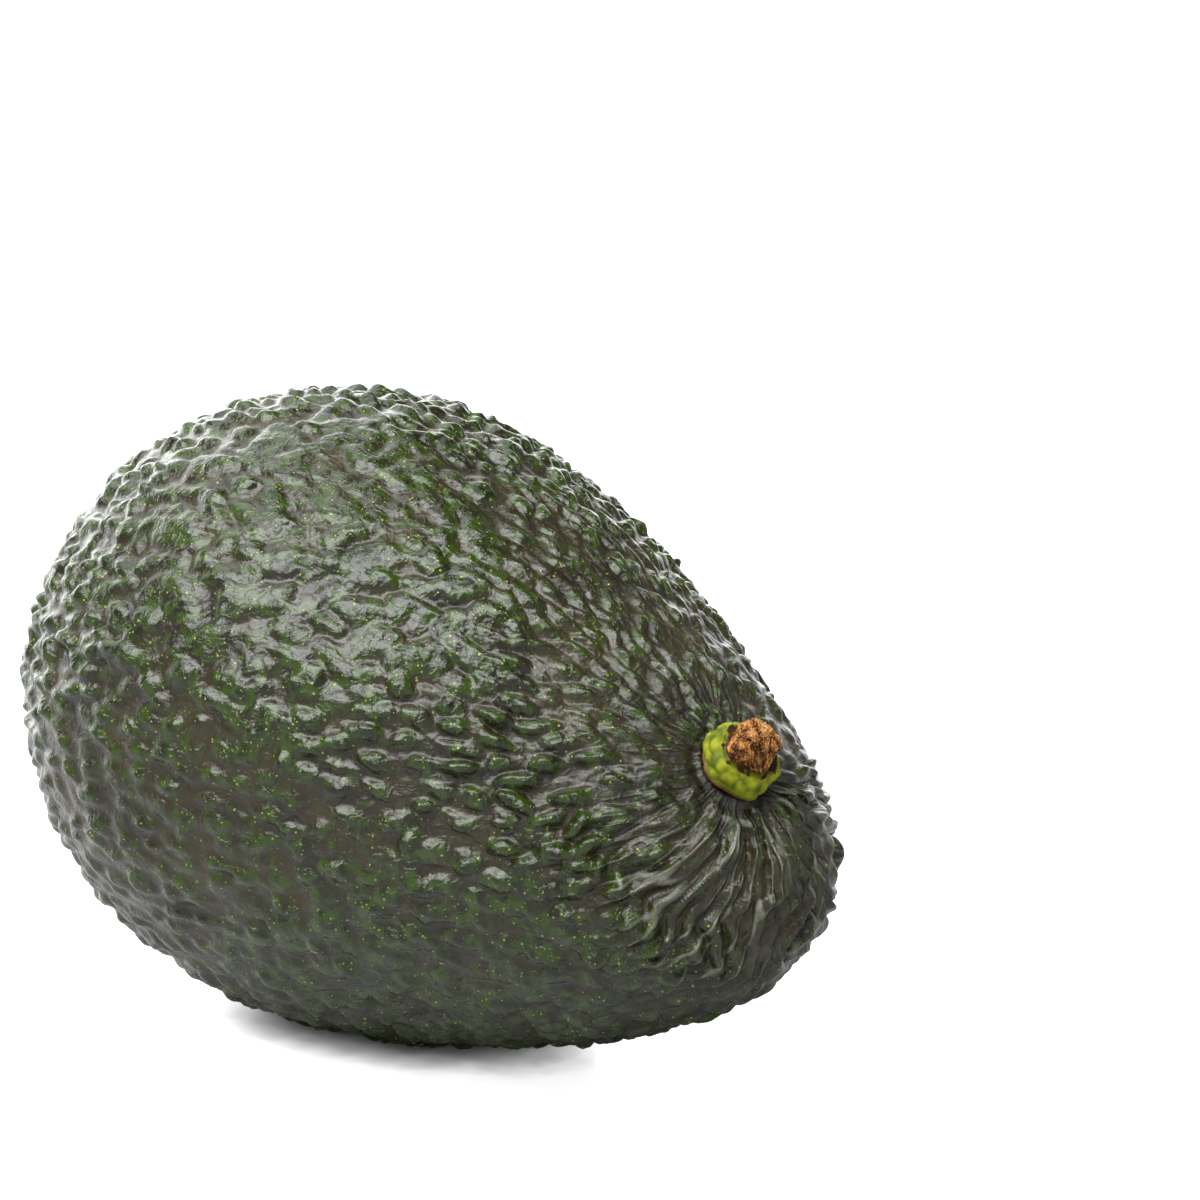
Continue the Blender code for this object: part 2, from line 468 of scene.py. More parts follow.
# The share of the points that lie below the height that is put there.
TOPS_PERCENTILE = 90
PEBBLE_START = (3.7 * MM, 4.7 * MM)
LIP_RISE = (3.4 * MM, 4.4 * MM)
LIP_FALL = (4.4 * MM, 9.0 * MM)
LIP_HEIGHT = 0.75 * MM
FOLD_SINK = 0.5 * MM
SINK_END = (6 * MM, 12 * MM)

ripple = RIPPLE_HEIGHT * soft_noise(RIPPLE_SIZE, 60)
height = pebble_height + fold_height + SWELL_HEIGHT * soft_noise(SWELL_SIZE, 50) + ripple
height -= np.percentile(height, TOPS_PERCENTILE) - TOPS_ABOVE_CAD
sink_share = np.maximum(fold_share, pucker_share) * (1 - ramp(from_stalk, *SINK_END))
height -= FOLD_SINK * sink_share
height *= ramp(from_stalk, *PEBBLE_START)
height += LIP_HEIGHT * ramp(from_stalk, *LIP_RISE) * (1 - ramp(from_stalk, *LIP_FALL))
pebbled_skin = smooth_skin + height[:, None] * outward
pebbled_skin[:, 2] = np.maximum(pebbled_skin[:, 2], cad_low.z)
print("skin, mm:", np.ptp(pebbled_skin, axis=0).round(4) / MM)

# %% Hand the surface to Blender
def add_numbers(mesh, name, values):
    """Store one number for each point of a mesh, for its material to read."""
    attribute = mesh.attributes.new(name, "FLOAT", "POINT")
    attribute.data.foreach_set("value", values.astype(np.float32))


def add_piece(name, bmesh_shape, node):
    """Make an object of a bmesh that stands for a CAD node and moves with the fruit."""
    mesh = bpy.data.meshes.new(name)
    bmesh_shape.to_mesh(mesh)
    bmesh_shape.free()
    mesh.shade_smooth()
    piece = bpy.data.objects.new(name, mesh)
    bpy.context.scene.collection.objects.link(piece)
    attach(piece, "root")
    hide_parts(node)
    return piece


# How much a fold counts as a pebble, and a pucker as a fold, for the rind's colours.
FOLD_AS_PEBBLE = 0.2
PUCKER_AS_FOLD = 0.5

for vertex, place in zip(skin_mesh.verts, pebbled_skin):
    vertex.co = place
rind = add_piece("rind", skin_mesh, "fruit")
add_numbers(rind.data, "pebble", (pebble_height + FOLD_AS_PEBBLE * fold_height) / MM)
add_numbers(rind.data, "folded", fold_share + PUCKER_AS_FOLD * pucker_share)

# Streaks run along the meridians, so their pattern is drawn on the turn, as a point of a
# circle, and on the distance from the stalk, which makes a third axis.
STREAK_LENGTH = 100 * MM
streak_axes = np.column_stack([np.cos(turn), np.sin(turn), from_stalk / STREAK_LENGTH])
streaks = rind.data.attributes.new("streak_axes", "FLOAT_VECTOR", "POINT")
streaks.data.foreach_set("vector", streak_axes.astype(np.float32).ravel())
print("rind faces:", len(rind.data.polygons))

# %% [markdown]
# ## Colours and nodes
#
# Colours are written as sRGB hex values, as a paint program shows them, and shaders
# work with linear light, so one function turns the one into the other. A second one
# adds a shader node with its settings and links in one go, which keeps each material
# short enough to read from top to bottom.

# %% Two helpers for materials
def linear(hex_colour):
    """An sRGB hex colour, such as #4a4642, as the linear numbers that shaders use."""
    channels = [int(hex_colour[start:start + 2], 16) / 255 for start in (1, 3, 5)]
    straight = [c / 12.92 if c <= 0.04045 else ((c + 0.055) / 1.055) ** 2.4 for c in channels]
    return (*straight, 1.0)


def add_node(tree, kind, values=None, links=None):
    """Add a node: values fill its settings and sockets, and links feed its sockets."""
    node = tree.nodes.new("ShaderNode" + kind)
    for name, value in (values or {}).items():
        if isinstance(name, str) and hasattr(node, name):
            setattr(node, name, value)
        else:
            node.inputs[name].default_value = value
    for name, source in (links or {}).items():
        tree.links.new(source, node.inputs[name])
    return node


print("brown black:", [round(channel, 4) for channel in linear("#2a2622")])

# %% [markdown]
# ## The rind: avocado skin under its own wax
#
# A ripe rind is a thin, leathery skin that has grown its own thin wax. It is brown
# black in the valleys and dark green on the pebbles, which darken last, and it is
# freckled with lenticels, the pale corky pores that it breathes through. The wax gives
# a soft, clear sheen, so the eye knows the pebbles mostly by their glints: a body of
# middling roughness has a smoother coat over it. Pores are up to about 0.3 mm wide,
# close together on the pebbles and rarer in the valleys. The folds' crests are painted
# paler, as a painted highlight along each crest. Here and there a rub has healed as a
# brown scar, and fine streaks run out from the stalk.

# %% Build the rind's material
SKIN_DARK = linear("#1d180a")
SKIN_LIGHT = linear("#332c14")
PEBBLE_DARK = linear("#101602")
PEBBLE_LIGHT = linear("#2d4104")
PORE_GREEN = linear("#66801f")
PORE_YELLOW = linear("#a09a40")
SCAR_BROWN = linear("#4c3320")
# A pale grey painted along the folds' crests, as a painted highlight.
CREST_HIGHLIGHT_PALE = linear("#7b7d6e")
MOTTLE_SIZE = 7.0 * MM
FLECK_SIZE = 1.3 * MM
PORE_SPACING = 0.38 * MM
SCAR_SPACING = 9.0 * MM
CLUSTER_SIZE = 1.8 * MM
GRAIN_SIZE = 0.45 * MM
WRINKLE_SIZE = 1.3 * MM
# Streaks and crests are noise on a circle of radius 1. The streaks' scale is its cells
# for each radius, and the crests' number is its cells all the way round.
STREAK_SCALE = 36.0
CRESTS_ROUND = 60
# How deep each kind of relief is that the mesh is too coarse for.
CREST_DEPTH = 0.50 * MM
STREAK_DEPTH = 0.15 * MM
WRINKLE_DEPTH = 0.08 * MM
GRAIN_DEPTH = 0.06 * MM
PORE_DEPTH = 0.03 * MM


def make_rind_material():
    """Dark green and brown skin with pores and scars, under wax."""
    material = bpy.data.materials.new("waxed_avocado_rind")
    material.use_nodes = True
    tree = material.node_tree
    shader = tree.nodes["Principled BSDF"]
    place = add_node(tree, "TexCoord").outputs["Object"]
    pebble = add_node(tree, "Attribute", {"attribute_name": "pebble"}).outputs["Fac"]
    streak_axes = add_node(tree, "Attribute", {"attribute_name": "streak_axes"}).outputs["Vector"]

    # Slow and quick changes of colour.
    mottle = add_node(tree, "TexNoise", {"Scale": 1 / MOTTLE_SIZE, "Detail": 4.0}, {"Vector": place})
    fleck = add_node(tree, "TexNoise", {"Scale": 1 / FLECK_SIZE, "Detail": 3.0}, {"Vector": place})
    grain = add_node(tree, "TexNoise", {"Scale": 1 / GRAIN_SIZE, "Detail": 2.0}, {"Vector": place})
    mottled = add_node(tree, "MapRange", {"From Min": 0.35, "From Max": 0.65},
                       {"Value": mottle.outputs["Fac"]}).outputs["Result"]
    flecked = add_node(tree, "MapRange", {"From Min": 0.38, "From Max": 0.62},
                       {"Value": fleck.outputs["Fac"]}).outputs["Result"]
    skin = add_node(tree, "Mix", {"data_type": "RGBA", 6: SKIN_DARK, 7: SKIN_LIGHT},
                    {0: mottled}).outputs[2]
    leaf = add_node(tree, "Mix", {"data_type": "RGBA", 6: PEBBLE_DARK, 7: PEBBLE_LIGHT},
                    {0: flecked}).outputs[2]

    # Green sits on the pebbles, with a ragged edge.
    ragged = add_node(tree, "Math", {"operation": "MULTIPLY_ADD", 1: 0.5}, {0: flecked, 2: pebble})
    green = add_node(tree, "MapRange", {"From Min": 0.42, "From Max": 0.95},
                     {"Value": ragged.outputs["Value"]}).outputs["Result"]
    ground = add_node(tree, "Mix", {"data_type": "RGBA"}, {0: green, 6: skin, 7: leaf}).outputs[2]

    # Folds have sharp crests, painted a little paler than the skin beside them: a painted highlight along
    # each crest.
    folded = add_node(tree, "Attribute", {"attribute_name": "folded"}).outputs["Fac"]
    crests = add_node(tree, "TexNoise",
                      {"noise_type": "RIDGED_MULTIFRACTAL", "Scale": CRESTS_ROUND / math.tau,
                       "Detail": 1.0, "Offset": 1.0, "Distortion": 0.2},
                      {"Vector": streak_axes}).outputs["Fac"]
    crest_height = add_node(tree, "Math", {"operation": "MULTIPLY"},
                            {0: crests, 1: folded}).outputs["Value"]
    crest_highlight = add_node(tree, "MapRange", {"From Min": 1.05, "From Max": 1.35, "To Max": 0.9},
                    {"Value": crest_height}).outputs["Result"]
    ground = add_node(tree, "Mix", {"data_type": "RGBA", 7: CREST_HIGHLIGHT_PALE}, {0: crest_highlight, 6: ground}).outputs[2]

    # Pores: round spots of random size, most of them on the pebbles.
    cells = add_node(tree, "TexVoronoi", {"Scale": 1 / PORE_SPACING}, {"Vector": place})
    chance = add_node(tree, "SeparateColor", {}, {"Color": cells.outputs["Color"]})
    radius = add_node(tree, "MapRange", {"To Min": 0.16, "To Max": 0.60},
                      {"Value": chance.outputs["Red"]}).outputs["Result"]
    clusters = add_node(tree, "TexNoise", {"Scale": 1 / CLUSTER_SIZE}, {"Vector": place})
    crowd = add_node(tree, "MapRange", {"From Min": 0.42, "From Max": 0.62, "To Min": 0.06, "To Max": 0.70},
                     {"Value": clusters.outputs["Fac"]}).outputs["Result"]
    wanted = add_node(tree, "MapRange", {"To Min": 0.08}, {"Value": green, "To Max": crowd})
    kept = add_node(tree, "Math", {"operation": "LESS_THAN"},
                    {0: chance.outputs["Green"], 1: wanted.outputs["Result"]}).outputs["Value"]
    ragged_rim = add_node(tree, "Math", {"operation": "MULTIPLY_ADD", 1: 0.35},
                          {0: grain.outputs["Fac"], 2: cells.outputs["Distance"]})
    inside = add_node(tree, "Math", {"operation": "SUBTRACT"}, {0: radius, 1: ragged_rim.outputs["Value"]})
    spot = add_node(tree, "MapRange", {"From Min": 0.0, "From Max": 0.08},
                    {"Value": inside.outputs["Value"]}).outputs["Result"]
    pore = add_node(tree, "Math", {"operation": "MULTIPLY"}, {0: spot, 1: kept}).outputs["Value"]
    pore_colour = add_node(tree, "Mix", {"data_type": "RGBA", 6: PORE_GREEN, 7: PORE_YELLOW},
                           {0: chance.outputs["Blue"]}).outputs[2]
    freckled = add_node(tree, "Mix", {"data_type": "RGBA"}, {0: pore, 6: ground, 7: pore_colour}).outputs[2]

    # Healed scars: a few brown spots.
    patches = add_node(tree, "TexVoronoi", {"Scale": 1 / SCAR_SPACING}, {"Vector": place})
    uneven = add_node(tree, "Math", {"operation": "MULTIPLY_ADD", 1: 0.12},
                      {0: fleck.outputs["Fac"], 2: patches.outputs["Distance"]})
    scar = add_node(tree, "MapRange", {"From Min": 0.095, "From Max": 0.075},
                    {"Value": uneven.outputs["Value"]}).outputs["Result"]
    scarred = add_node(tree, "Mix", {"data_type": "RGBA", 7: SCAR_BROWN}, {0: scar, 6: freckled})
    tree.links.new(scarred.outputs[2], shader.inputs["Base Color"])

    # Relief that is finer than the mesh: crests on the folds, streaks, wrinkles, grain, pores.
    crested = add_node(tree, "Bump", {"Strength": 1.0, "Distance": CREST_DEPTH},
                       {"Height": crest_height})
    streaks = add_node(tree, "TexNoise", {"Scale": STREAK_SCALE, "Detail": 4.0,
                                          "Roughness": 0.65}, {"Vector": streak_axes})
    streaked = add_node(tree, "Bump", {"Strength": 1.0, "Distance": STREAK_DEPTH},
                        {"Height": streaks.outputs["Fac"], "Normal": crested.outputs["Normal"]})
    wrinkles = add_node(tree, "TexNoise", {"noise_type": "RIDGED_MULTIFRACTAL", "Scale": 1 / WRINKLE_SIZE,
                                           "Detail": 3.0, "Offset": 1.0, "Distortion": 0.5},
                        {"Vector": place})
    wrinkled = add_node(tree, "Bump", {"Strength": 1.0, "Distance": WRINKLE_DEPTH},
                        {"Height": wrinkles.outputs["Fac"], "Normal": streaked.outputs["Normal"]})
    grained = add_node(tree, "Bump", {"Strength": 1.0, "Distance": GRAIN_DEPTH},
                       {"Height": grain.outputs["Fac"], "Normal": wrinkled.outputs["Normal"]})
    pored = add_node(tree, "Bump", {"Strength": 1.0, "Distance": PORE_DEPTH},
                     {"Height": pore, "Normal": grained.outputs["Normal"]})
    tree.links.new(pored.outputs["Normal"], shader.inputs["Normal"])

    # The wax is thin in the valleys, where it looks duller.
    dull = add_node(tree, "MapRange", {"From Min": 0.0, "From Max": 0.5, "To Min": 0.44, "To Max": 0.24},
                    {"Value": pebble}).outputs["Result"]
    tree.links.new(dull, shader.inputs["Roughness"])
    shader.inputs["IOR"].default_value = 1.45
    shader.inputs["Coat Weight"].default_value = 0.7
    shader.inputs["Coat Roughness"].default_value = 0.14
    shader.inputs["Coat IOR"].default_value = 1.3
    return material


rind.data.materials.append(make_rind_material())
print("rind:", len(rind.data.materials[0].node_tree.nodes), "nodes")

# %% [markdown]
# ## The stalk stub
#
# The fruit hangs from a fleshy stalk, and what stays on it is a short stub. A green,
# warty collar grips the dimple. Out of it stands the plug where the stalk was cut,
# which has dried to a brown, fibrous chunk with a crack all round it. A turned shape
# would be too neat, and sculpting it by hand couldn't be repeated, so a turned
# profile is laid out as a fine net of points, and each point is then moved by rules:
# lobes, warts, fibres, and slanting cuts through the dried end. The dried end is so
# crumbled that some of its faces cross each other, which doesn't show. The foot goes
# a little way into the rind, so no gap shows round it.

# %% Read the stub's sizes from the CAD
stem_points = np.array([vertex.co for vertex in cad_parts["stem"].data.vertices])
from_floor = stem_points - np.array(dimple_floor)
rises = from_floor @ np.array(stalk_axis)
spreads = np.linalg.norm(from_floor - rises[:, None] * np.array(stalk_axis), axis=1)
stub_height = rises.max()
collar_radius = spreads.max()
cap_radius = spreads[rises > 0.8 * stub_height].max()
print("stub, mm: height", (stub_height / MM).round(2), "collar", (2 * collar_radius / MM).round(2),
      "cap", (2 * cap_radius / MM).round(2))

# %% Lay out the stub's net
STUB_SIDES = 168
STUB_ROWS = 120
FOOT_DEPTH = 0.9 * MM
# Each corner of the profile: a share of the collar's or the cap's radius, and a height.
PROFILE_RADII = np.array([
    0.50 * collar_radius, 0.76 * collar_radius, 0.90 * collar_radius, 0.98 * collar_radius,
    1.00 * collar_radius, 0.97 * collar_radius, 0.86 * collar_radius, 1.12 * cap_radius,
    0.96 * cap_radius, 0.96 * cap_radius, 0.98 * cap_radius, 0.96 * cap_radius,
    0.84 * cap_radius, 0.02 * cap_radius])
PROFILE_RISES = np.array([
    -FOOT_DEPTH / stub_height, -0.06, 0.06, 0.18, 0.32, 0.46, 0.55, 0.60,
    0.595, 0.68, 0.84, 0.99, 1.06, 1.08]) * stub_height


def walk_profile(rows):
    """Radius and height at even steps along the profile, with its corners rounded."""
    strides = np.hypot(np.diff(PROFILE_RADII), np.diff(PROFILE_RISES))
    travelled = np.concatenate([[0.0], np.cumsum(strides)])
    steps = np.linspace(0.0, travelled[-1], rows)
    radii = np.interp(steps, travelled, PROFILE_RADII)
    heights = np.interp(steps, travelled, PROFILE_RISES)
    for _ in range(3):
        radii[1:-1] = (radii[:-2] + 2 * radii[1:-1] + radii[2:]) / 4
        heights[1:-1] = (heights[:-2] + 2 * heights[1:-1] + heights[2:]) / 4
    return radii, heights


row_radii, row_heights = walk_profile(STUB_ROWS)
stub_turns = np.linspace(0, 2 * math.pi, STUB_SIDES, endpoint=False)
radius = np.repeat(row_radii, STUB_SIDES)
rise = np.repeat(row_heights, STUB_SIDES)
spin = np.tile(stub_turns, STUB_ROWS)
print("stub net:", len(radius), "points")

# %% Rules that move the stub's points
STUB_LOBES = 5
LOBE_SHARE = 0.045
WART_SIZE = 1.4 * MM
WART_HEIGHT = 0.28 * MM
WART_WARP_SIZE = 1.4 * MM
WART_WARP = 0.45 * MM
LUMP_SIZE = 2.6 * MM
LUMP_HEIGHT = 0.34 * MM
CORNERS = 4
CORNER_SHARE = 0.08
FIBRE_SIZE = 1.7 * MM
FIBRE_DEPTH = 0.26 * MM
SPLINTER_SIZE = 0.42 * MM
SPLINTER_DEPTH = 0.32 * MM
# Where the flesh turns to dried fibre, as shares of the stub's height.
DRIED_START = 0.598
DRIED_FULL = 0.625
# How far apart warts are, as a share of their size, when they just touch.
WART_CLOSENESS = 0.72
# The middle of a crumbled surface's depth, which stays in place.
CRUMBLE_MIDDLE = 0.6

round_place = np.column_stack([radius * np.cos(spin), radius * np.sin(spin), rise])
dried = ramp(rise, DRIED_START * stub_height, DRIED_FULL * stub_height) * (radius < 1.2 * cap_radius)
fleshy = ramp(rise, -0.05 * stub_height, 0.10 * stub_height) * (1 - dried)


def place_noise(size, shift):
    """Smooth noise from -1 to 1 at every point of the stub."""
    return np.array([noise.noise(place) for place in round_place / size + shift])


def warts(size, shift):
    """Round bumps that touch each other: 1 on top of a wart, 0 between two."""
    warped = round_place + WART_WARP * np.column_stack(
        [place_noise(WART_WARP_SIZE, axis) for axis in (130, 140, 150)])
    nearest = np.array([noise.voronoi(place)[0][0] for place in warped / size + shift])
    return np.clip(1 - (nearest / WART_CLOSENESS) ** 2, 0, 1)


def crumble(size, shift):
    """Broken, creased lumps of several sizes, from 0 in a crease to about 1."""
    return np.array([noise.turbulence(place, 3, True, amplitude_scale=0.55, frequency_scale=2.1)
                     for place in round_place / size + shift])


wart_tops = warts(WART_SIZE, 3.0)
fibres = crumble(FIBRE_SIZE, 70)
splinters = crumble(SPLINTER_SIZE, 80)
widening = LUMP_HEIGHT * place_noise(LUMP_SIZE, 90) * ramp(rise, 0.0, 0.3 * stub_height)
widening += radius * LOBE_SHARE * np.cos(STUB_LOBES * spin + 0.6)
widening += fleshy * WART_HEIGHT * wart_tops
widening += dried * radius * CORNER_SHARE * np.cos(CORNERS * spin + 0.2)
fibre_relief = FIBRE_DEPTH * (fibres - CRUMBLE_MIDDLE)
splinter_relief = SPLINTER_DEPTH * (splinters - CRUMBLE_MIDDLE)
widening += dried * (fibre_relief + splinter_relief)
radius_moved = radius * (1 + widening / np.maximum(radius, cap_radius))
rise_moved = rise + dried * 0.5 * fibre_relief + fleshy * 0.4 * WART_HEIGHT * wart_tops
rise_moved += dried * splinter_relief * (radius < 0.9 * cap_radius)

# %% Stand the stub up and slant its dried end
SIDE_SLANT = math.radians(38)
FRONT_SLANT = math.radians(14)
CUT_SHARE = 1.05
# No cut goes lower than this share of the stub's height.
CUT_FLOOR = 0.66

to_right = unit(np.cross(np.array(stalk_axis), np.array([0.0, -1.0, 0.25])))
to_front = np.cross(np.array(stalk_axis), to_right)
stub_side = radius_moved * np.cos(spin)
stub_front = radius_moved * np.sin(spin)
side_plane = CUT_SHARE * stub_height - (stub_side - 0.15 * cap_radius) * math.tan(SIDE_SLANT)
front_plane = CUT_SHARE * stub_height - (stub_front + 0.1 * cap_radius) * math.tan(FRONT_SLANT)
raggedness = SPLINTER_DEPTH * splinters + 0.3 * FIBRE_DEPTH * fibres
cut_rise = np.minimum(rise_moved, np.minimum(side_plane, front_plane) + raggedness)
cut_rise = np.where(dried > 0.5, np.maximum(cut_rise, CUT_FLOOR * stub_height), rise_moved)
stub_places = (np.array(dimple_floor) + stub_side[:, None] * to_right
               + stub_front[:, None] * to_front + cut_rise[:, None] * np.array(stalk_axis))


def net_mesh(places, rows, sides):
    """A closed tube of quads through rows of points, with a fan at each end."""
    mesh = bmesh.new()
    points = [mesh.verts.new(place) for place in places]
    for row in range(rows - 1):
        for side in range(sides):
            after = (side + 1) % sides
            low, high = row * sides, (row + 1) * sides
            mesh.faces.new((points[low + side], points[low + after],
                            points[high + after], points[high + side]))
    mesh.faces.new(points[:sides][::-1])
    mesh.faces.new(points[-sides:])
    bmesh.ops.recalc_face_normals(mesh, faces=mesh.faces[:])
    return mesh


stub = add_piece("stalk_stub", net_mesh(stub_places, STUB_ROWS, STUB_SIDES), "stem")
add_numbers(stub.data, "dried", dried)
add_numbers(stub.data, "wart", wart_tops * fleshy)
add_numbers(stub.data, "fibre", fibres)
add_numbers(stub.data, "rise", rise / stub_height)
print("stub, mm:", [round(side / MM, 1) for side in stub.dimensions])

# %% [markdown]
# ## The stub's colours
#
# The collar is living stalk flesh: yellow green, moist and a little translucent, so
# light bleeds under its surface. Its foot has a thin corky rim. The plug is dry plant
# fibre, like bark: orange brown, nearly black in the creases of its crumbled relief and
# pale on its highest ridges, which is partly its own colour and partly painted shade and
# painted highlight. It is dull all over. The crack between collar and plug is painted
# near black on both sides, as painted shade.

# %% Build the stub's material
FLESH_GREEN = linear("#4b5908")
FLESH_YELLOW = linear("#92981a")
CORK = linear("#7d6238")
FIBRE_ORANGE = linear("#dd9650")
# The plug's pale is partly a painted highlight on its ridges. Its near black is partly painted shade in its
# creases, and painted shade in the crack round it.
FIBRE_PALE_AND_HIGHLIGHT = linear("#efc797")
FIBRE_DARK_AND_SHADE = linear("#341a0a")
FLESH_FLECK_SIZE = 0.9 * MM
BARK_FLECK_SIZE = 0.35 * MM
STRAND_LENGTH = 1.5 * MM
STRAND_WIDTH = 0.16 * MM
BARK_DEPTH = 0.06 * MM
STRAND_DEPTH = 0.30 * MM
STRAND_TURNS = ((0.35, 0.6, 0.0), (1.25, -0.4, 0.9))


def make_stub_material():
    """Green stalk flesh with a corky foot, and a plug of dry brown fibres."""
    material = bpy.data.materials.new("stalk_flesh_and_dry_fibre")
    material.use_nodes = True
    tree = material.node_tree
    shader = tree.nodes["Principled BSDF"]
    place = add_node(tree, "TexCoord").outputs["Object"]
    dry = add_node(tree, "Attribute", {"attribute_name": "dried"}).outputs["Fac"]
    wart = add_node(tree, "Attribute", {"attribute_name": "wart"}).outputs["Fac"]
    fibre = add_node(tree, "Attribute", {"attribute_name": "fibre"}).outputs["Fac"]
    level = add_node(tree, "Attribute", {"attribute_name": "rise"}).outputs["Fac"]

    flesh_fleck = add_node(tree, "TexNoise", {"Scale": 1 / FLESH_FLECK_SIZE, "Detail": 3.0},
                           {"Vector": place}).outputs["Fac"]
    ripe = add_node(tree, "Math", {"operation": "MULTIPLY_ADD", 1: 0.45}, {0: wart, 2: flesh_fleck})
    yellow = add_node(tree, "MapRange", {"From Min": 0.42, "From Max": 1.0},
                      {"Value": ripe.outputs["Value"]})
    flesh = add_node(tree, "Mix", {"data_type": "RGBA", 6: FLESH_GREEN, 7: FLESH_YELLOW},
                     {0: yellow.outputs["Result"]}).outputs[2]
    low = add_node(tree, "Math", {"operation": "MULTIPLY_ADD", 1: 0.22}, {0: flesh_fleck, 2: level})
    corky = add_node(tree, "MapRange", {"From Min": 0.38, "From Max": 0.26},
                     {"Value": low.outputs["Value"]})
    collar = add_node(tree, "Mix", {"data_type": "RGBA", 7: CORK},
                      {0: corky.outputs["Result"], 6: flesh}).outputs[2]

    bark_fleck = add_node(tree, "TexNoise", {"Scale": 1 / BARK_FLECK_SIZE, "Detail": 4.0,
                                             "Roughness": 0.7}, {"Vector": place}).outputs["Fac"]
    strand_scale = (1 / STRAND_WIDTH, 1 / STRAND_WIDTH, 1 / STRAND_LENGTH)
    one_way = add_node(tree, "Mapping", {"Rotation": STRAND_TURNS[0], "Scale": strand_scale},
                       {"Vector": place})
    other_way = add_node(tree, "Mapping", {"Rotation": STRAND_TURNS[1], "Scale": strand_scale},
                         {"Vector": place})
    patch = add_node(tree, "MapRange", {"From Min": 0.48, "From Max": 0.52}, {"Value": flesh_fleck})
    lie = add_node(tree, "Mix", {"data_type": "VECTOR"},
                   {0: patch.outputs["Result"], 4: one_way.outputs["Vector"],
                    5: other_way.outputs["Vector"]})
    # Strands that lie one way in some patches and another way in the rest.
    strands = add_node(tree, "TexNoise", {"Scale": 1.0, "Detail": 2.0, "Distortion": 0.8},
                       {"Vector": lie.outputs[1]}).outputs["Fac"]
    # The plug's colour follows its crumbled relief. It is near black in the creases, partly painted shade,
    # and pale on the highest ridges, partly painted highlight.
    frayed = add_node(tree, "Math", {"operation": "MULTIPLY_ADD", 1: 2.2}, {0: strands, 2: fibre})
    torn = add_node(tree, "Math", {"operation": "MULTIPLY_ADD", 1: 0.5},
                    {0: bark_fleck, 2: frayed.outputs["Value"]}).outputs["Value"]
    ridge = add_node(tree, "MapRange", {"From Min": 1.55, "From Max": 2.05}, {"Value": torn})
    bright = add_node(tree, "MapRange", {"From Min": 2.10, "From Max": 2.45}, {"Value": torn})
    bark = add_node(tree, "Mix", {"data_type": "RGBA", 6: FIBRE_DARK_AND_SHADE, 7: FIBRE_ORANGE},
                    {0: ridge.outputs["Result"]}).outputs[2]
    plug = add_node(tree, "Mix", {"data_type": "RGBA", 7: FIBRE_PALE_AND_HIGHLIGHT},
                    {0: bright.outputs["Result"], 6: bark}).outputs[2]
    # Painted shade: the plug's foot turns near black where the crack round it is.
    crack_shade = add_node(tree, "MapRange", {"From Min": 0.67, "From Max": 0.60}, {"Value": level})
    shaded = add_node(tree, "Mix", {"data_type": "RGBA", 7: FIBRE_DARK_AND_SHADE},
                      {0: crack_shade.outputs["Result"], 6: plug}).outputs[2]
    # Painted shade: the collar's top turns near black along the same crack.
    uneven = add_node(tree, "Math", {"operation": "MULTIPLY_ADD", 1: 0.12}, {0: flesh_fleck, 2: level})
    collar_crack_shade = add_node(tree, "MapRange", {"From Min": 0.648, "From Max": 0.662},
                    {"Value": uneven.outputs["Value"]}).outputs["Result"]
    collar_with_crack_shade = add_node(tree, "Mix", {"data_type": "RGBA", 7: FIBRE_DARK_AND_SHADE}, {0: collar_crack_shade, 6: collar}).outputs[2]
    whole = add_node(tree, "Mix", {"data_type": "RGBA"}, {0: dry, 6: collar_with_crack_shade, 7: shaded}).outputs[2]
    tree.links.new(whole, shader.inputs["Base Color"])

    fine_bump = add_node(tree, "Bump", {"Strength": 1.0, "Distance": BARK_DEPTH}, {"Height": bark_fleck})
    strand_depth = add_node(tree, "MapRange", {"To Max": STRAND_DEPTH}, {"Value": dry}).outputs["Result"]
    bump = add_node(tree, "Bump", {"Strength": 1.0},
                    {"Height": strands, "Distance": strand_depth, "Normal": fine_bump.outputs["Normal"]})
    tree.links.new(bump.outputs["Normal"], shader.inputs["Normal"])
    dull = add_node(tree, "MapRange", {"To Min": 0.58, "To Max": 0.85}, {"Value": dry})
    tree.links.new(dull.outputs["Result"], shader.inputs["Roughness"])
    moist = add_node(tree, "MapRange", {"To Min": 0.08, "To Max": 0.0}, {"Value": dry})
    tree.links.new(moist.outputs["Result"], shader.inputs["Subsurface Weight"])
    shader.inputs["Subsurface Radius"].default_value = (1.0, 0.8, 0.3)
    shader.inputs["Subsurface Scale"].default_value = 0.3 * MM
    shader.inputs["IOR"].default_value = 1.36
    shader.inputs["Specular IOR Level"].default_value = 0.35
    return material


stub.data.materials.append(make_stub_material())
print("stub:", len(stub.data.materials[0].node_tree.nodes), "nodes")

# %% [markdown]
# ## The camera
#
# The fruit is looked at from a little above, past its stalk, from the distance of an
# outstretched arm, with a long lens, so its near end doesn't swell. The view is given
# as an angle round the fruit and an angle above the floor, and the aim is a point a
# little up and to the right of the fruit's middle, which leaves the fruit low and left.

# %% Place the camera
VIEW_ROUND = math.radians(41.64)
VIEW_ABOVE = math.radians(14.0)
VIEW_DISTANCE = 507.0 * MM
AIM_RIGHT = 17.9 * MM
AIM_UP = 13.6 * MM
FRAME_ANGLE = math.radians(15.0)

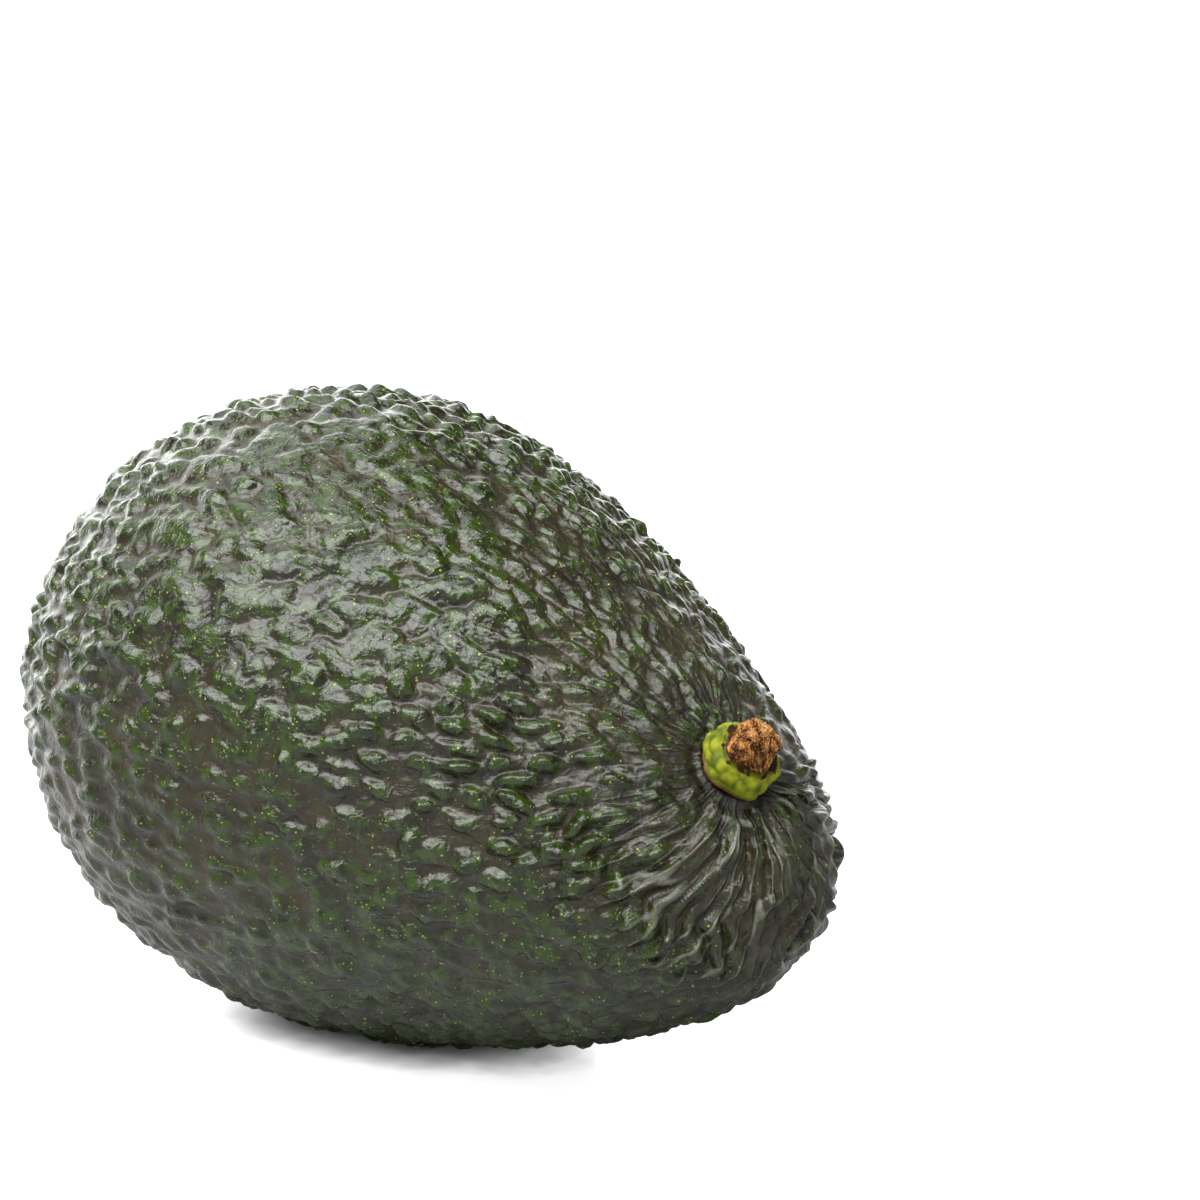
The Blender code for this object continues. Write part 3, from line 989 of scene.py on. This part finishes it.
view_right = Vector((math.cos(VIEW_ROUND), math.sin(VIEW_ROUND), 0.0))
view_back = Vector((math.sin(VIEW_ROUND) * math.cos(VIEW_ABOVE),
                    -math.cos(VIEW_ROUND) * math.cos(VIEW_ABOVE), math.sin(VIEW_ABOVE)))
view_up = view_back.cross(view_right)
aim = fruit_middle + AIM_RIGHT * view_right + AIM_UP * view_up


def add_camera(name, angle, axes, location):
    """A camera whose picture is as wide as the angle, looking along the third axis's back."""
    camera = bpy.data.objects.new(name, bpy.data.cameras.new(name))
    bpy.context.scene.collection.objects.link(camera)
    camera.data.angle = angle
    turned = Matrix(axes).transposed().to_4x4()
    camera.matrix_world = Matrix.Translation(location) @ turned
    return camera


bpy.context.scene.camera = add_camera(
    "camera", FRAME_ANGLE, (view_right, view_up, view_back), aim + VIEW_DISTANCE * view_back)
print("camera at, mm:", [round(side / MM) for side in bpy.context.scene.camera.matrix_world.translation])

# %% [markdown]
# ## Floor and light
#
# The fruit lies on a plain white table in a white studio. Dark, waxy things are lit by
# what they mirror, so the lamps are broad sheets: one high on the left puts long pale
# glints on the pebbles, one overhead whitens the table and the fruit's top, and one in
# front lifts the near side. The room is bright behind the fruit, which draws a pale
# line round its edge, dark at the sides and under the ceiling, which keeps the valleys
# deep, and middling in front. To the camera's own rays the room is plain white, and the
# table glows except where the fruit shades it, so the ground looks clean without
# lighting the fruit from below.

# %% Lay the floor
FLOOR_SIZE = 4.0
TABLE_WHITE = linear("#b8b8b8")
TABLE_GLOW = 0.9
SHADE_REACH = 4 * MM


def add_floor(name, size):
    """A flat white table top, level with the rest spot."""
    shape = bmesh.new()
    bmesh.ops.create_grid(shape, x_segments=1, y_segments=1, size=size / 2)
    mesh = bpy.data.meshes.new(name)
    shape.to_mesh(mesh)
    shape.free()
    thing = bpy.data.objects.new(name, mesh)
    bpy.context.scene.collection.objects.link(thing)
    thing.location.z = cad_low.z
    return thing


def make_table_material():
    """White lacquered board that looks clean and bright, with a soft shade at the fruit."""
    material = bpy.data.materials.new("white_lacquered_board")
    material.use_nodes = True
    tree = material.node_tree
    shader = tree.nodes["Principled BSDF"]
    shader.inputs["Base Color"].default_value = TABLE_WHITE
    shader.inputs["Roughness"].default_value = 0.25
    # The glow fades where the fruit closes off the sky, and lights nothing else.
    open_sky = add_node(tree, "AmbientOcclusion", {"samples": 8, "Distance": SHADE_REACH}).outputs["AO"]
    glow = add_node(tree, "MapRange", {"From Min": 0.1, "From Max": 0.9, "To Max": TABLE_GLOW},
                    {"Value": open_sky}).outputs["Result"]
    looked_at = add_node(tree, "LightPath").outputs["Is Camera Ray"]
    seen_glow = add_node(tree, "Math", {"operation": "MULTIPLY"}, {0: glow, 1: looked_at})
    shader.inputs["Emission Color"].default_value = linear("#ffffff")
    tree.links.new(seen_glow.outputs["Value"], shader.inputs["Emission Strength"])
    return material


floor = add_floor("floor", FLOOR_SIZE)
floor.data.materials.append(make_table_material())
print("floor:", FLOOR_SIZE, "m square")

# %% Hang the lamps
LAMPS = {
    # name: (right, up, back) of the fruit in metres, (width, height), watts
    "left_sheet": ((-0.29, 0.43, 0.33), (0.50, 0.42), 5.2),
    "overhead_sheet": ((-0.35, 0.95, -0.25), (0.65, 0.5), 2.0),
    "front_sheet": ((0.05, 0.62, 0.35), (0.34, 0.26), 2.7),
}


def add_lamp(name, offset, size, power):
    """A rectangular sheet of light that faces the fruit."""
    lamp = bpy.data.lights.new(name, "AREA")
    lamp.shape = "RECTANGLE"
    lamp.size, lamp.size_y = size
    lamp.energy = power
    thing = bpy.data.objects.new(name, lamp)
    bpy.context.scene.collection.objects.link(thing)
    right, up, back = offset
    place = fruit_middle + right * view_right + up * view_up + back * view_back
    thing.location = place
    thing.rotation_euler = (fruit_middle - place).to_track_quat("-Z", "Y").to_euler()
    return thing


for lamp_name, lamp_facts in LAMPS.items():
    add_lamp(lamp_name, *lamp_facts)
print("lamps:", ", ".join(LAMPS))

# %% Paint the room
ROOM_BRIGHT = 3.6
ROOM_SIDES = 0.36
ROOM_FRONT = 0.86
CEILING_START = 0.2
CEILING_FULL = 0.65
CEILING_SHARE = 0.22
ROOM_SEEN = 1.0
# The room's way to the front, and where it changes, as cosines of the angle from it.
FRONT_WAY = (0.8 * view_back + 0.3 * view_right).normalized()
BRIGHT_CONE = (-0.9, -0.55)
FRONT_RISE = (0.0, 0.6)


def paint_room():
    """A room that is bright behind, dark at the sides and above, and middling in front."""
    world = bpy.data.worlds.new("white_room")
    world.use_nodes = True
    bpy.context.scene.world = world
    tree = world.node_tree
    ray = add_node(tree, "TexCoord").outputs["Generated"]
    frontness = add_node(tree, "VectorMath", {"operation": "DOT_PRODUCT", 1: tuple(FRONT_WAY)},
                         {0: ray}).outputs["Value"]
    front = add_node(tree, "MapRange", {"From Min": FRONT_RISE[0], "From Max": FRONT_RISE[1],
                                        "To Min": ROOM_SIDES, "To Max": ROOM_FRONT},
                     {"Value": frontness}).outputs["Result"]
    height = add_node(tree, "SeparateXYZ", {}, {"Vector": ray}).outputs["Z"]
    lift = add_node(tree, "MapRange", {"From Min": CEILING_START, "From Max": CEILING_FULL, "To Min": 1.0,
                                       "To Max": CEILING_SHARE}, {"Value": height}).outputs["Result"]
    walls = add_node(tree, "Math", {"operation": "MULTIPLY"}, {0: front, 1: lift}).outputs["Value"]
    glow = add_node(tree, "MapRange", {"From Min": BRIGHT_CONE[0], "From Max": BRIGHT_CONE[1],
                                       "To Min": ROOM_BRIGHT},
                    {"Value": frontness, "To Max": walls}).outputs["Result"]
    looked_at = add_node(tree, "LightPath").outputs["Is Camera Ray"]
    strength = add_node(tree, "Mix", {"data_type": "FLOAT", 3: ROOM_SEEN}, {0: looked_at, 2: glow})
    tree.links.new(strength.outputs[0], tree.nodes["Background"].inputs["Strength"])
    tree.nodes["Background"].inputs["Color"].default_value = linear("#ffffff")


paint_room()
bpy.context.scene.view_settings.view_transform = "Standard"
print("room: from", ROOM_SIDES, "to", ROOM_BRIGHT)
